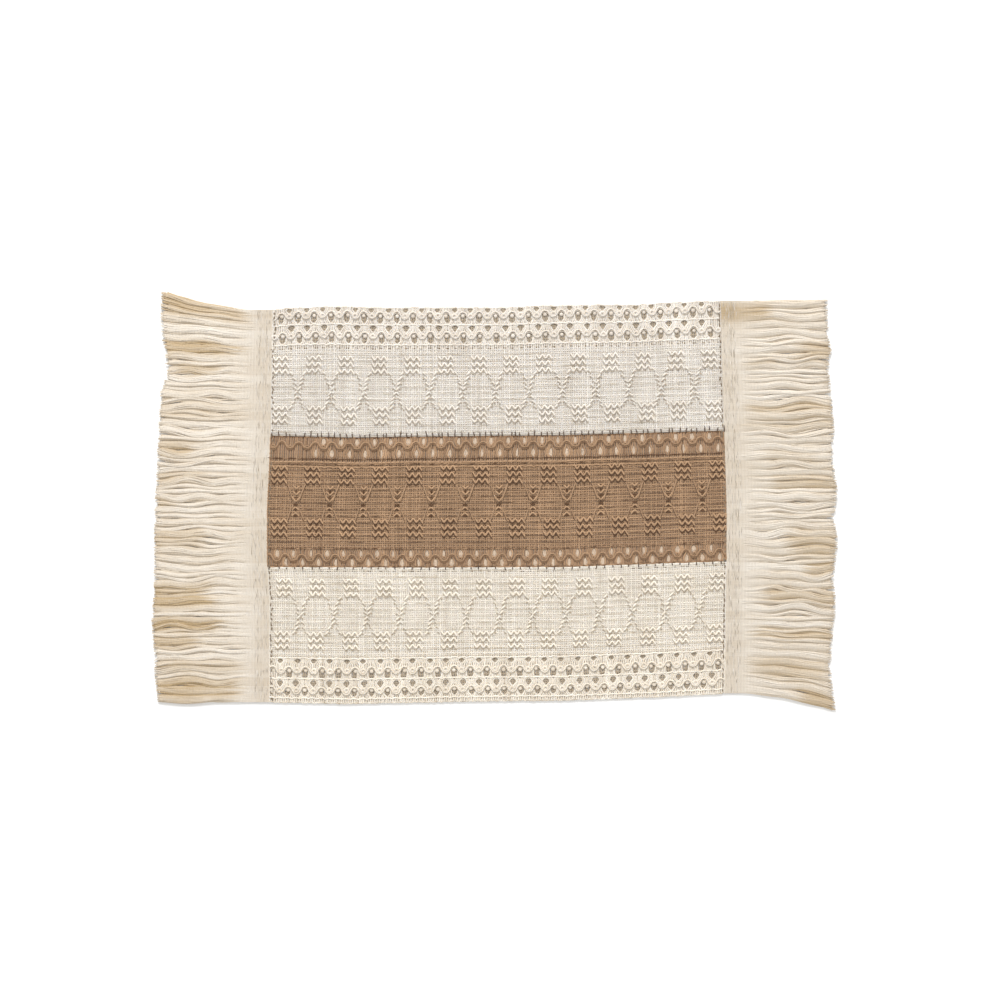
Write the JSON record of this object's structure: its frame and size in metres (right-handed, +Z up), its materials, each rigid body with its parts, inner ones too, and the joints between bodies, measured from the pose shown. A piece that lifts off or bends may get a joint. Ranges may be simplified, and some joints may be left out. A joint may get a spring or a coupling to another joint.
{
  "type": "fabric placemat",
  "caption": "Flat rectangular woven placemat of three cloth bands sewn edge to edge, with raised zigzag and wave relief, open lace rows and a fringed heading at each short end.",
  "frame": {"origin": "middle of the mat's outline, on the surface that the mat lies on", "axes": "+X along the mat's length towards the right fringe, +Y across it towards the upper cream band, +Z up out of the patterned face"},
  "size_m": [0.5214, 0.3184, 0.0027],
  "materials": {
    "cream_cotton": "matte loose-woven undyed cotton",
    "brown_cotton": "matte loose-woven brown cotton",
    "fringe_cotton": "matte combed cotton yarn"
  },
  "bodies": {
    "root": {"panel_upper": "cream_cotton", "panel_centre": "brown_cotton", "panel_lower": "cream_cotton", "fringe_left": "fringe_cotton", "fringe_right": "fringe_cotton"}
  },
  "joints": []
}
